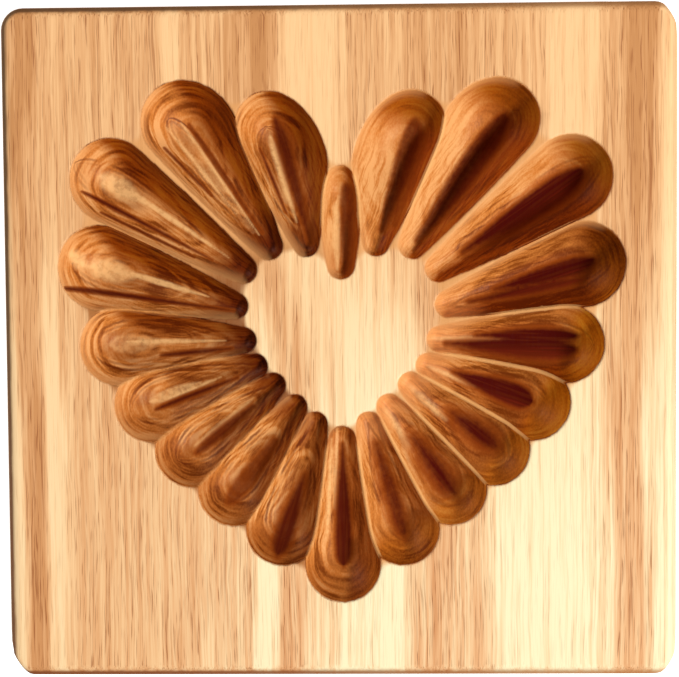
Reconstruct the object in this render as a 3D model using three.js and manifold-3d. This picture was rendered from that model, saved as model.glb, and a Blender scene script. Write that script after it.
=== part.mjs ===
// Wooden cookie mould: one flat square board with a heart of twenty hollow petals carved into its face.
//
// Sizes are in millimetres. +X is to the right of the heart, +Y is up it, towards its cleft, and the carved
// face looks along +Z. The board lies on its back at z = 0, with the origin under its middle.
//
// Every petal is one gouge cut: a round-bottomed trough that starts narrow and shallow at its tail, near the
// middle of the board, and ends wide and deep at its head, on the heart's outline. Neighbouring troughs run
// into each other, and the ridges between them are what is left where their walls meet.

import * as THREE from "three";
import { mergeVertices } from "three/addons/utils/BufferGeometryUtils.js";
import Module from "manifold-3d";

// The board
const BOARD_SIDE = 120;
const BOARD_THICKNESS = 20;
const EDGE_ROUND = 2.4; // rounding of all long edges
const FLAT_CORNER_RADIUS = 1.6; // corner radius of the flat face, inside the rounding
const HEART_BORDER = 9.7; // plain wood beside the heart at its widest
const HEART_SHIFT = 0.3; // the heart was laid out this far to the right of the board's middle

// The hollows
const DEPTH_PER_HALF_WIDTH = 0.85; // depth of a hollow at its deepest, against half its width there
const WALL_FULLNESS = 0.8; // 1 is a parabola across the hollow, 0.5 is a half circle
const DEEPEST_BEHIND_HEAD = 2.2; // how far the deepest point lies from the head's centre, towards the tail
const SIDE_BULGE = 0.25; // how far a straight side swells at its middle
const RIM_LIP = 0.12; // crisp upright edge at the rim of a hollow
const CUTTER_RISE = 3; // how far a cutter stands out of the face

const STATIONS = 16; // cross-sections along one petal
const SECTION_STEPS = 10; // steps across one hollow

// One side of a petal, seen from its tail to its head: half its width at the widest place, and how far that
// place lies behind the head's centre.
const side = (halfWidth, setback = 0) => ({ halfWidth, setback });

// A petal: the centre of its wide end and the distance from there to its tip, the centre and radius of its
// narrow end, and its two sides.
const petal = (head, tipReach, tail, tailRadius, left, right) => (
  { head, tipReach, tail, tailRadius, left, right }
);

// The petals of the heart's right half, from the cleft round to the tip. They are drawn at their real size on
// this board, and are scaled with it.
const HALF_PETALS = [
  petal([12.3, 37.9], 6.8, [6.2, 17.7], 2.3, side(8.3, 6.2), side(6.4)),
  petal([27.9, 39.3], 7.4, [12.8, 17.4], 2.5, side(8.4, 2.6), side(7.3)),
  petal([40.8, 29.4], 7.2, [17.3, 13.2], 2.4, side(7.2), side(7.5, 0.5)),
  petal([43.1, 14.0], 7.2, [18.9, 6.8], 2.3, side(7.2), side(7.7, 0.5)),
  petal([39.6, -0.3], 7.0, [17.5, 0.6], 2.3, side(7.0), side(7.0)),
  petal([33.7, -10.7], 6.9, [15.4, -4.0], 2.2, side(6.8), side(6.8)),
  petal([26.8, -19.0], 6.6, [12.2, -7.4], 2.2, side(6.5), side(6.5)),
  petal([19.3, -26.1], 6.5, [8.4, -11.3], 2.2, side(6.4), side(6.4)),
  petal([10.8, -33.2], 6.5, [4.8, -14.4], 2.2, side(6.4), side(6.9, 0.5)),
];

// The two petals on the heart's axis: the small one in the cleft and the one at the tip.
const AXIS_PETALS = [
  petal([0, 28.0], 3.5, [0, 13.8], 2.4, side(3.6, 3.0), side(3.6, 3.0)),
  petal([0, -39.5], 6.9, [0, -17.2], 2.4, side(6.7), side(6.7)),
];

// The same petal on the other half of the heart.
function mirrored({ head, tipReach, tail, tailRadius, left, right }) {
  return petal([-head[0], head[1]], tipReach, [-tail[0], tail[1]], tailRadius, right, left);
}

// A petal drawn larger or smaller, with all its sizes in step.
function scaled({ head, tipReach, tail, tailRadius, left, right }, factor) {
  const inStep = (sizes) => sizes.map((size) => size * factor);
  const scaledSide = ({ halfWidth, setback }) => side(halfWidth * factor, setback * factor);
  const [newReach, newRadius] = inStep([tipReach, tailRadius]);
  return petal(inStep(head), newReach, inStep(tail), newRadius, scaledSide(left), scaledSide(right));
}

// The half-width of one side of a petal at a station u, measured from the tail's centre towards the head.
// The side is a quarter circle round the tail, a nearly straight stretch that touches it and the head's
// circle, that circle up to the widest place, and a quarter ellipse from there to the tip.
function halfWidthAlong(length, tailRadius, tipReach, { halfWidth, setback }) {
  const widest = length - setback;
  const tilt = Math.asin((halfWidth - tailRadius) / widest);
  const stemStart = -tailRadius * Math.sin(tilt);
  const stemEnd = widest - halfWidth * Math.sin(tilt);
  const stemLow = tailRadius * Math.cos(tilt);
  const stemHigh = halfWidth * Math.cos(tilt);
  return (u) => {
    if (u < stemStart) {
      return Math.sqrt(tailRadius ** 2 - u ** 2);
    }
    if (u < stemEnd) {
      const share = (u - stemStart) / (stemEnd - stemStart);
      return stemLow + (stemHigh - stemLow) * share + SIDE_BULGE * 4 * share * (1 - share);
    }
    if (u < widest) {
      return Math.sqrt(halfWidth ** 2 - (u - widest) ** 2);
    }
    const reach = (u - widest) / (setback + tipReach);
    return halfWidth * Math.sqrt(1 - reach ** 2);
  };
}

// The depth of a petal's floor line at a station u. It falls smoothly from the tail to the deepest point and
// comes back up round both ends.
function depthAlong(length, tailRadius, tipReach, meanHalfWidth) {
  const deepest = length - DEEPEST_BEHIND_HEAD;
  const tailDepth = DEPTH_PER_HALF_WIDTH * tailRadius;
  const headDepth = DEPTH_PER_HALF_WIDTH * meanHalfWidth;
  return (u) => {
    if (u < 0) {
      return tailDepth * (1 - (u / tailRadius) ** 2) ** WALL_FULLNESS;
    }
    if (u < deepest) {
      const share = u / deepest;
      return tailDepth + (headDepth - tailDepth) * (share + share ** 2 * (1 - share));
    }
    const reach = (u - deepest) / (length + tipReach - deepest);
    return headDepth * (1 - reach ** 2) ** WALL_FULLNESS;
  };
}

// The outline of a cutter across its petal: over the face, down to the left rim, through the trough's bottom
// and up again at the right rim. Points are (v, z), with v to the left and z up from the face.
function crossSection(leftWidth, rightWidth, depth) {
  const points = [[leftWidth, CUTTER_RISE]];
  for (let step = 0; step <= SECTION_STEPS; step += 1) {
    const angle = (Math.PI * step) / SECTION_STEPS;
    const across = Math.cos(angle) > 0 ? leftWidth * Math.cos(angle) : rightWidth * Math.cos(angle);
    points.push([across, -RIM_LIP - depth * Math.sin(angle) ** (2 * WALL_FULLNESS)]);
  }
  points.push([-rightWidth, CUTTER_RISE]);
  return points;
}

// A closed body through a row of rings that have the same number of points, with flat ends.
function loft(rings) {
  const around = rings[0].length;
  const positions = rings.flat().flatMap((point) => point.toArray());
  const indices = [];
  for (let ring = 0; ring + 1 < rings.length; ring += 1) {
    for (let step = 0; step < around; step += 1) {
      const here = ring * around + step;
      const beside = ring * around + ((step + 1) % around);
      indices.push(here, here + around, beside);
      indices.push(beside, here + around, beside + around);
    }
  }
  const last = (rings.length - 1) * around;
  for (let step = 1; step + 1 < around; step += 1) {
    indices.push(0, step, step + 1);
    indices.push(last, last + step + 1, last + step);
  }
  const geometry = new THREE.BufferGeometry();
  geometry.setAttribute("position", new THREE.Float32BufferAttribute(positions, 3));
  geometry.setIndex(indices);
  return geometry;
}

// The body that the gouge takes away for one petal, standing in the board's frame.
function petalCutter({ head: headPoint, tipReach, tail: tailPoint, tailRadius, left, right }) {
  const tail = new THREE.Vector3(...tailPoint, 0);
  const head = new THREE.Vector3(...headPoint, 0);
  const length = tail.distanceTo(head);
  const leftWidth = halfWidthAlong(length, tailRadius, tipReach, left);
  const rightWidth = halfWidthAlong(length, tailRadius, tipReach, right);
  const meanHalfWidth = (left.halfWidth + right.halfWidth) / 2;
  const depth = depthAlong(length, tailRadius, tipReach, meanHalfWidth);

  const forward = head.clone().sub(tail).normalize();
  const up = new THREE.Vector3(0, 0, 1);
  const leftward = up.clone().cross(forward);
  const placed = new THREE.Matrix4().makeBasis(forward, leftward, up);
  placed.setPosition(tail.x + HEART_SHIFT, tail.y, BOARD_THICKNESS);

  // Stations crowd towards both ends, where the outline turns fastest.
  const halfLength = (tailRadius + length + tipReach) / 2;
  const rings = [];
  for (let station = 0; station < STATIONS; station += 1) {
    const turn = (Math.PI * (station + 0.5)) / STATIONS;
    const u = -tailRadius + halfLength * (1 - Math.cos(turn));
    const section = crossSection(leftWidth(u), rightWidth(u), depth(u));
    rings.push(section.map(([v, z]) => new THREE.Vector3(u, v, z).applyMatrix4(placed)));
  }
  return loft(rings);
}

// The uncarved board: the flat face's outline, grown outwards and rounded over along its edges.
function boardBlank() {
  const half = BOARD_SIDE / 2 - EDGE_ROUND;
  const bend = half - FLAT_CORNER_RADIUS;
  const outline = new THREE.Shape();
  outline.absarc(bend, bend, FLAT_CORNER_RADIUS, 0, Math.PI / 2);
  outline.absarc(-bend, bend, FLAT_CORNER_RADIUS, Math.PI / 2, Math.PI);
  outline.absarc(-bend, -bend, FLAT_CORNER_RADIUS, Math.PI, 1.5 * Math.PI);
  outline.absarc(bend, -bend, FLAT_CORNER_RADIUS, 1.5 * Math.PI, 2 * Math.PI);
  const blank = new THREE.ExtrudeGeometry(outline, {
    depth: BOARD_THICKNESS - 2 * EDGE_ROUND,
    curveSegments: 6,
    bevelEnabled: true,
    bevelThickness: EDGE_ROUND,
    bevelSize: EDGE_ROUND,
    bevelSegments: 5,
  });
  return blank.translate(0, 0, EDGE_ROUND);
}

const wasm = await Module();
wasm.setup();

function toSolid(geometry) {
  const bare = geometry.clone();
  bare.deleteAttribute("normal");
  bare.deleteAttribute("uv");
  const merged = mergeVertices(bare);
  return new wasm.Manifold(new wasm.Mesh({
    numProp: 3,
    vertProperties: new Float32Array(merged.attributes.position.array),
    triVerts: new Uint32Array(merged.index.array),
  }));
}

function toGeometry(solid) {
  const mesh = solid.getMesh();
  const geometry = new THREE.BufferGeometry();
  geometry.setAttribute("position", new THREE.BufferAttribute(mesh.vertProperties, 3));
  geometry.setIndex(new THREE.BufferAttribute(mesh.triVerts, 1));
  geometry.computeVertexNormals();
  return geometry;
}

const drawnHalfWidth = Math.max(...HALF_PETALS.map(({ head, tipReach }) => head[0] + tipReach));
const heartScale = (BOARD_SIDE / 2 - HEART_BORDER) / drawnHalfWidth;
const allPetals = [...AXIS_PETALS, ...HALF_PETALS, ...HALF_PETALS.map(mirrored)];

let board = toSolid(boardBlank());
for (const drawn of allPetals) {
  board = board.subtract(toSolid(petalCutter(scaled(drawn, heartScale))));
}

const oiledWood = new THREE.MeshStandardMaterial({ color: 0xe6bb84, roughness: 0.5, metalness: 0 });

const mould = new THREE.Group();
const mouldBoard = new THREE.Mesh(toGeometry(board), oiledWood);
mouldBoard.name = "mould_board";
mould.add(mouldBoard);

export default mould;
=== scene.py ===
"""Wooden cookie mould: a square board of oiled wood with a heart of twenty gouged petals.

Lengths in the carving classes are in millimetres, in the board's own frame: x to the right of the
heart, y up it along the grain, and z out of the carved face, with the board's back at z = 0.
"""

import logging
import math
from dataclasses import dataclass, field, replace
from enum import Enum
from functools import reduce

import bpy
import numpy as np
from mathutils import Matrix, Vector

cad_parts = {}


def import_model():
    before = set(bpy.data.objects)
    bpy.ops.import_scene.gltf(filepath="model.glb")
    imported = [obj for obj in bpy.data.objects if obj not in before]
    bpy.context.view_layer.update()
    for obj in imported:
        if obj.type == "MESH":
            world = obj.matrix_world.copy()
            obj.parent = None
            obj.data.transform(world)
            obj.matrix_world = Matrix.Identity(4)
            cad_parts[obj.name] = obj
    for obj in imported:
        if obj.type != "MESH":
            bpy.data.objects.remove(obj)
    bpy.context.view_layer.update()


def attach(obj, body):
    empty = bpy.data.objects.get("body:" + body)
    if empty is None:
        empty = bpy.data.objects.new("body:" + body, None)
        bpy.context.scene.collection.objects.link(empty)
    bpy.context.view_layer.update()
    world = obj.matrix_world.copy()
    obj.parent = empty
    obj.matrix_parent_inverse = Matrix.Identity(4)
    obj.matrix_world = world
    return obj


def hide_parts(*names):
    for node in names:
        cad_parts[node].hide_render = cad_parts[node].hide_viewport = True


MM = 0.001
# Keeps divisions away from zero.
LEAST = 1e-6
LOG = logging.getLogger("cookie_mould")


class Half(Enum):
    """Which half of the heart a petal lies on."""

    RIGHT = 1
    LEFT = -1


class Tone(Enum):
    """What a streak in a hollow looks like; the value names the number stored for it."""

    DARK = "dark_streak"
    PALE = "pale_streak"
    OUTLINE = "outline"


@dataclass(frozen=True)
class Streak:
    """A slender lens along one petal, where the gouge came through another growth layer; the dark ones also
    hold painted shadow beside the floor line, and the pale ones painted highlights.

    Its ends are shares of the way from the petal's tail to its head. Its middle line runs between two
    places beside the floor line, to the right of it as seen from the tail, and it is widest at a share
    of its own length. A high softness blurs its edge, a fade draws out the edge on its right, and a
    low limit keeps it faint.
    """

    tone: Tone
    start: float
    end: float
    beside_start: float
    beside_end: float
    half_width: float
    widest: float = 0.6
    softness: float = 1.0
    fade: float = 1.0
    limit: float = 1.5

    def inside(self, along: np.ndarray, across: np.ndarray, length: float) -> np.ndarray:
        """How far places lie inside the lens.

        Args:
            along: Shares of the way from the petal's tail to its head.
            across: Distances to the right of the floor line.
            length: Distance from the tail's centre to the head's.

        Returns:
            Distances from the lens's edge, below zero outside it.
        """
        share = (along - self.start) / (self.end - self.start)
        within = np.clip(share, 0.0, 1.0)
        beyond = np.abs(share - within) * (self.end - self.start) * length
        taper = np.sin(math.pi / 2 * np.minimum(within / self.widest, 1.0))
        round_end = np.sqrt(1 - (np.maximum(within - self.widest, 0.0) / (1 - self.widest)) ** 2)
        swell = np.where(within < self.widest, taper, round_end)
        middle = self.beside_start + (self.beside_end - self.beside_start) * within
        off = across - middle
        off = np.where(off > 0, off / self.fade, off)
        return np.minimum((self.half_width * swell - np.hypot(off, beyond)) / self.softness, self.limit)


@dataclass(frozen=True)
class Side:
    """One side of a petal, seen from its tail to its head.

    The setback is how far its widest place lies behind the head's centre.
    """

    half_width: float
    setback: float = 0.0

    def width_at(
        self, u: np.ndarray, length: float, tail_radius: float, tip_reach: float, bulge: float
    ) -> np.ndarray:
        """Half-width of this side at stations along the petal.

        Args:
            u: Distances from the tail's centre towards the head.
            length: Distance from the tail's centre to the head's.
            tail_radius: Radius of the narrow end.
            tip_reach: Distance from the head's centre to the petal's tip.
            bulge: How far the straight stretch swells at its middle.

        Returns:
            The half-widths, zero beyond the petal's ends.
        """
        widest = length - self.setback
        tilt = math.asin((self.half_width - tail_radius) / widest)
        stem_start = -tail_radius * math.sin(tilt)
        stem_end = widest - self.half_width * math.sin(tilt)
        stem_low = tail_radius * math.cos(tilt)
        stem_high = self.half_width * math.cos(tilt)
        share = (u - stem_start) / (stem_end - stem_start)
        round_tail = np.sqrt(np.maximum(tail_radius**2 - u**2, 0.0))
        # One at the middle of the stem and zero at its ends.
        arch = 4 * share * (1 - share)
        stem = stem_low + (stem_high - stem_low) * share + bulge * arch
        shoulder = np.sqrt(np.maximum(self.half_width**2 - (u - widest) ** 2, 0.0))
        reach = (u - widest) / (self.setback + tip_reach)
        tip = self.half_width * np.sqrt(np.maximum(1 - reach**2, 0.0))
        return np.select([u < stem_start, u < stem_end, u < widest], [round_tail, stem, shoulder], tip)


@dataclass(frozen=True)
class Petal:
    """One gouge cut: a round-bottomed trough from a narrow tail to a wide, deep head.

    Its head and tail are the centres of its ends, and the tip's reach is counted from the head's.
    """

    head: tuple[float, float]
    tip_reach: float
    tail: tuple[float, float]
    tail_radius: float
    left: Side
    right: Side
    streaks: tuple[Streak, ...] = ()

    @property
    def length(self) -> float:
        """Distance from the tail's centre to the head's."""
        return math.dist(self.head, self.tail)

    def on_half(self, half: Half, streaks: tuple[Streak, ...]) -> "Petal":
        """The same petal on one of the heart's halves, with that half's streaks.

        Args:
            half: The half that it lies on.
            streaks: The streaks in its hollow.

        Returns:
            The petal, mirrored for the left half.
        """
        if half is Half.RIGHT:
            return replace(self, streaks=streaks)
        head, tail = (-self.head[0], self.head[1]), (-self.tail[0], self.tail[1])
        return replace(self, head=head, tail=tail, left=self.right, right=self.left, streaks=streaks)

    def coordinates(self, x: np.ndarray, y: np.ndarray) -> tuple[np.ndarray, np.ndarray]:
        """Places in the petal's own directions.

        Args:
            x: Places across the board.
            y: Places up the board.

        Returns:
            Distances from the tail's centre towards the head, and distances to the left of that line.
        """
        forward = np.subtract(self.head, self.tail) / self.length
        east, north = x - self.tail[0], y - self.tail[1]
        return east * forward[0] + north * forward[1], north * forward[0] - east * forward[1]

    def near(self, x: np.ndarray, y: np.ndarray) -> np.ndarray:
        """Whether places may lie inside the petal's rim.

        Args:
            x: Places across the board.
            y: Places up the board.

        Returns:
            True for each place that may.
        """
        middle = np.add(self.head, self.tail) / 2
        reach = self.length / 2 + max(self.tip_reach, self.left.half_width, self.right.half_width)
        return np.hypot(x - middle[0], y - middle[1]) < reach


@dataclass(frozen=True)
class Gouge:
    """How the carver's gouge shapes every hollow.

    The floor is a share of the half-width deep, and the walls rise a little fuller than a parabola. The
    rim starts with a small lip. Where two hollows meet, the ridge is softened over no more than the
    ridge softness, and over less where they are shallow.
    """

    depth_per_half_width: float = 0.85
    wall_fullness: float = 0.8
    deepest_behind_head: float = 2.2
    side_bulge: float = 0.25
    rim_lip: float = 0.12
    ridge_softness: float = 0.75
    ridge_share: float = 0.6
    rim_sanding: float = 0.2

    def floor_depth(self, petal: Petal, u: np.ndarray) -> np.ndarray:
        """Depth of a petal's floor line at stations along it.

        Args:
            petal: The petal.
            u: Distances from the tail's centre towards the head.

        Returns:
            The depths below the face.
        """
        deepest = petal.length - self.deepest_behind_head
        tail_depth = self.depth_per_half_width * petal.tail_radius
        head_depth = self.depth_per_half_width * (petal.left.half_width + petal.right.half_width) / 2
        at_tail = tail_depth * np.maximum(1 - (u / petal.tail_radius) ** 2, 0.0) ** self.wall_fullness
        share = u / deepest
        along = tail_depth + (head_depth - tail_depth) * (share + share**2 * (1 - share))
        reach = (u - deepest) / (petal.length + petal.tip_reach - deepest)
        at_tip = head_depth * np.maximum(1 - reach**2, 0.0) ** self.wall_fullness
        return np.select([u < 0, u < deepest], [at_tail, along], at_tip)

    def cut(self, petal: Petal, u: np.ndarray, v: np.ndarray) -> np.ndarray:
        """Depth that one petal takes out of the face.

        Args:
            petal: The petal.
            u: Distances from the tail's centre towards the head.
            v: Distances to the left of the petal's line.

        Returns:
            Depths below the face, zero outside the petal's rim.
        """
        span = (petal.length, petal.tail_radius, petal.tip_reach, self.side_bulge)
        width = np.where(v > 0, petal.left.width_at(u, *span), petal.right.width_at(u, *span))
        across = np.abs(v) / np.maximum(width, LEAST)
        inside = (u > -petal.tail_radius) & (u < petal.length + petal.tip_reach) & (across < 1)
        fullness = np.maximum(1 - across**2, 0.0) ** self.wall_fullness
        return np.where(inside, self.rim_lip + self.floor_depth(petal, u) * fullness, 0.0)


@dataclass
class Carving:
    """The carved face at a set of places, with what the finish needs to know of each."""

    depth: np.ndarray
    along: np.ndarray
    across: np.ndarray
    streaks: dict[Tone, np.ndarray]


@dataclass
class PetalHeart:
    """The heart of petals, laid out as the carver drew it."""

    shift: float = 0.3
    far_outside: float = -1.5
    gouge: Gouge = field(default_factory=Gouge)

    @staticmethod
    def shapes() -> list[Petal]:
        """Lays out the petals of one half, as measured on the mould.

        Returns:
            The petals from the cleft round to the tip, still without their streaks.
        """
        # Head, the tip's reach, tail and its radius, then the side towards the cleft and the other.
        return [
            Petal((12.3, 37.9), 6.8, (6.2, 17.7), 2.3, Side(8.3, 6.2), Side(6.4)),
            Petal((27.9, 39.3), 7.4, (12.8, 17.4), 2.5, Side(8.4, 2.6), Side(7.3)),
            Petal((40.8, 29.4), 7.2, (17.3, 13.2), 2.4, Side(7.2), Side(7.5, 0.5)),
            Petal((43.1, 14.0), 7.2, (18.9, 6.8), 2.3, Side(7.2), Side(7.7, 0.5)),
            Petal((39.6, -0.3), 7.0, (17.5, 0.6), 2.3, Side(7.0), Side(7.0)),
            Petal((33.7, -10.7), 6.9, (15.4, -4.0), 2.2, Side(6.8), Side(6.8)),
            Petal((26.8, -19.0), 6.6, (12.2, -7.4), 2.2, Side(6.5), Side(6.5)),
            Petal((19.3, -26.1), 6.5, (8.4, -11.3), 2.2, Side(6.4), Side(6.4)),
            Petal((10.8, -33.2), 6.5, (4.8, -14.4), 2.2, Side(6.4), Side(6.9, 0.5)),
        ]

    @staticmethod
    def right_streaks() -> list[tuple[Streak, ...]]:
        """Lays out the streaks in the right half's hollows, as measured on the mould.

        Returns:
            The streaks of each petal, in the petals' order.
        """
        dark, pale, outline = Tone.DARK, Tone.PALE, Tone.OUTLINE
        return [
            (
                Streak(dark, 0.12, 1.1, 0.2, 0.5, 0.9, 0.75, fade=1.8, limit=0.0),
                Streak(dark, 0.2, 1.0, 2.2, 3.0, 0.3, 0.6, limit=-0.4),
            ),
            (
                Streak(dark, 0.04, 1.08, 0.2, 0.6, 1.6, 0.7, fade=1.4, limit=0.15),
                Streak(outline, 0.05, 1.14, 1.6, 2.2, 2.9, 0.7),
            ),
            (
                Streak(dark, 0.18, 1.1, 0.1, 0.4, 1.7, 0.75, fade=1.6),
                Streak(outline, 0.0, 1.2, 0.8, 0.8, 3.6, 0.75),
            ),
            (
                Streak(dark, 0.35, 1.1, 0.0, 0.2, 1.3, 0.75, fade=1.4),
                Streak(dark, 0.15, 0.98, 0.8, 3.0, 0.7, 0.6),
                Streak(outline, 0.0, 1.2, 0.6, 0.6, 3.7, 0.75),
            ),
            (
                Streak(dark, 0.3, 1.12, -0.8, -1.2, 1.25, 0.7),
                Streak(dark, 0.05, 1.12, 0.7, 1.2, 1.4, 0.75, fade=1.5),
                Streak(pale, -0.1, 0.62, 0.0, -0.1, 0.35, 0.4),
                Streak(outline, -0.05, 1.24, 0.2, 0.2, 4.0, 0.7),
            ),
            (
                Streak(dark, 0.25, 1.04, -0.2, 0.2, 2.0, 0.8),
                Streak(pale, 0.0, 0.5, 0.3, 0.9, 0.3, 0.5),
                Streak(outline, 0.0, 1.2, 0.5, 0.5, 3.8, 0.75),
            ),
            (
                Streak(dark, 0.5, 1.05, -0.4, -0.5, 1.4, 0.6, softness=2.4),
                Streak(pale, 0.0, 0.5, 0.5, 1.2, 0.35, 0.5, softness=1.6),
                Streak(outline, 0.1, 1.2, 0.6, 0.6, 4.0, 0.75, softness=1.8),
            ),
            (
                Streak(dark, 0.4, 1.1, 0.0, 0.3, 1.3, 0.7, softness=2.6),
                Streak(pale, 0.0, 0.45, 1.0, 1.5, 0.35, 0.5, softness=1.6),
                Streak(outline, 0.1, 1.2, 0.2, 0.2, 3.6, 0.75, softness=1.8),
            ),
            (
                Streak(dark, 0.22, 1.1, 0.0, 0.4, 0.9, 0.75, softness=1.7, limit=0.1),
                Streak(outline, 0.0, 1.15, 0.2, 0.2, 2.8, 0.7),
            ),
        ]

    @staticmethod
    def left_streaks() -> list[tuple[Streak, ...]]:
        """Lays out the streaks in the left half's hollows, as measured on the mould.

        Returns:
            The streaks of each petal, in the petals' order.
        """
        dark, pale, outline = Tone.DARK, Tone.PALE, Tone.OUTLINE
        return [
            (
                Streak(dark, 0.0, 1.1, 0.8, 1.2, 0.8, 0.75, fade=1.3, limit=0.3),
                Streak(pale, 0.2, 0.98, -0.5, -0.6, 0.7, 0.7, softness=0.8),
                Streak(dark, 0.3, 0.9, -1.8, -3.0, 0.15, 0.6, softness=0.4),
                Streak(outline, 0.1, 1.06, -0.8, -0.8, 3.4, 0.7),
            ),
            (
                Streak(pale, 0.14, 1.06, -1.0, -1.8, 1.3, 0.7, limit=-0.25),
                Streak(dark, 0.1, 1.0, 0.3, 0.5, 0.25, 0.6, softness=0.6, limit=0.0),
                Streak(pale, 0.1, 1.04, -0.4, -0.5, 0.3, 0.7, softness=0.6),
                Streak(pale, 0.3, 1.06, -1.6, -3.1, 0.25, 0.7, softness=0.6),
                Streak(dark, 0.5, 0.95, -3.4, -5.4, 0.12, 0.6, softness=0.4),
                Streak(outline, 0.05, 1.1, -1.0, -1.8, 2.3, 0.7),
            ),
            (
                Streak(pale, 0.12, 1.0, 0.2, -0.2, 0.5, 0.8, softness=0.6),
                Streak(pale, 0.78, 1.1, -0.5, -0.8, 1.7, 0.6, softness=2.0),
                Streak(dark, 0.2, 1.12, -1.8, -4.8, 0.25, 0.8, softness=0.4),
                Streak(dark, 0.3, 0.95, -3.2, -6.0, 0.12, 0.6, softness=0.35),
                Streak(outline, 0.08, 1.24, -0.6, -1.2, 3.4, 0.75),
            ),
            (
                Streak(pale, 0.2, 0.95, 0.1, 0.0, 0.5, 0.5, softness=0.6),
                Streak(pale, 0.76, 1.1, -0.4, -0.6, 1.9, 0.6, softness=2.0),
                Streak(pale, 1.1, 1.24, -1.0, 0.6, 1.2, 0.5, softness=2.0),
                Streak(dark, 0.0, 1.2, -1.0, -5.5, 0.35, 0.85, softness=0.5),
                Streak(outline, 0.05, 1.2, -0.6, -1.0, 3.2, 0.75),
            ),
            (
                Streak(pale, 0.15, 1.0, 0.0, 0.5, 0.4, 0.7, softness=0.6),
                Streak(dark, 0.1, 0.7, -1.4, -2.2, 0.3, 0.5, softness=0.6),
                Streak(pale, 0.72, 1.1, 0.1, 0.2, 1.2, 0.6, softness=2.0, limit=-0.1),
                Streak(outline, -0.05, 1.24, -0.2, 0.0, 4.5, 0.75),
            ),
            (
                Streak(pale, 0.55, 1.06, 0.5, 0.5, 0.9, 0.6, limit=0.1),
                Streak(pale, 0.35, 0.95, 0.2, -0.2, 0.3, 0.6, softness=0.6),
                Streak(dark, 0.2, 1.04, -0.9, -1.2, 0.35, 0.6, softness=0.6),
                Streak(outline, -0.05, 1.24, 0.0, 0.2, 4.2, 0.75),
            ),
            (
                Streak(pale, 0.3, 1.0, 0.3, 0.2, 0.35, 0.6),
                Streak(dark, 0.3, 1.02, -0.7, -0.9, 0.6, 0.6, limit=0.1),
                Streak(outline, 0.0, 1.2, 0.0, 0.2, 3.4, 0.7),
            ),
            (
                Streak(dark, 0.4, 1.16, -0.8, -0.6, 1.0, 0.75, softness=1.3, limit=-0.1),
                Streak(outline, 0.0, 1.2, 0.2, 0.6, 3.4, 0.75),
            ),
            (
                Streak(dark, 0.5, 1.26, -0.9, -0.5, 1.5, 0.8, softness=1.3),
                Streak(outline, 0.0, 1.15, 0.4, 0.6, 3.2, 0.75),
            ),
        ]

    @staticmethod
    def on_axis() -> list[Petal]:
        """Lays out the petals on the heart's axis.

        Returns:
            The small petal in the cleft and the one at the tip.
        """
        cleft_streaks = (
            Streak(Tone.DARK, -0.1, 1.0, 0.6, 0.8, 0.4, 0.6, fade=2.4, limit=0.0),
            Streak(Tone.PALE, -0.05, 0.8, -0.7, -0.8, 0.6, 0.5, limit=0.1),
        )
        tip_streaks = (
            Streak(Tone.DARK, 0.05, 1.06, 0.0, 0.0, 1.4, 0.85, softness=0.9),
            Streak(Tone.PALE, -0.1, 0.6, 0.9, 1.4, 0.25, 0.6, softness=0.7),
            Streak(Tone.PALE, 0.0, 0.85, 1.9, 3.0, 0.3, 0.6, softness=0.8),
        )
        return [
            Petal((0.0, 28.0), 3.5, (0.0, 13.8), 2.4, Side(3.6, 3.0), Side(3.6, 3.0), cleft_streaks),
            Petal((0.0, -39.5), 6.9, (0.0, -17.2), 2.4, Side(6.7), Side(6.7), tip_streaks),
        ]

    def all_petals(self) -> list[Petal]:
        """Puts the heart together.

        Returns:
            Every petal, in the order in which it is cut.
        """
        petals = self.on_axis()
        for half, streaks in ((Half.RIGHT, self.right_streaks()), (Half.LEFT, self.left_streaks())):
            petals += [shape.on_half(half, own) for shape, own in zip(self.shapes(), streaks)]
        return petals

    def carve(self, x: np.ndarray, y: np.ndarray) -> Carving:
        """The carving, with the ridges between petals sanded soft.

        Args:
            x: Places across the board.
            y: Places up the board.

        Returns:
            The depths, and each place's part of the petal that cuts deepest there.
        """
        total, along, across = np.zeros_like(x), np.zeros_like(x), np.zeros_like(x)
        streaks = {tone: np.full_like(x, self.far_outside) for tone in Tone}
        for petal in self.all_petals():
            near = petal.near(x - self.shift, y)
            u, v = petal.coordinates(x[near] - self.shift, y[near])
            cut = self.gouge.cut(petal, u, v)
            before = total[near]
            owned = cut > before
            along[near] = np.where(owned, u / petal.length, along[near])
            across[near] = np.where(owned, -v, across[near])
            for tone in Tone:
                own = [streak for streak in petal.streaks if streak.tone is tone]
                lenses = [streak.inside(u / petal.length, -v, petal.length) for streak in own]
                deepest_in = np.maximum.reduce([np.full_like(u, self.far_outside), *lenses])
                streaks[tone][near] = np.where(owned, deepest_in, streaks[tone][near])
            blend = np.minimum(self.gouge.ridge_softness, self.gouge.ridge_share * (before + cut)) + LEAST
            both = (before > 0) & (cut > 0)
            overlap = np.where(both, np.maximum(1 - np.abs(before - cut) / blend, 0.0), 0.0)
            # This adds a quarter of the blend where both cuts are as deep, and nothing beyond its reach.
            total[near] = np.maximum(before, cut) + overlap**2 * blend / 4
        return Carving(total, along, across, streaks)


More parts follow.
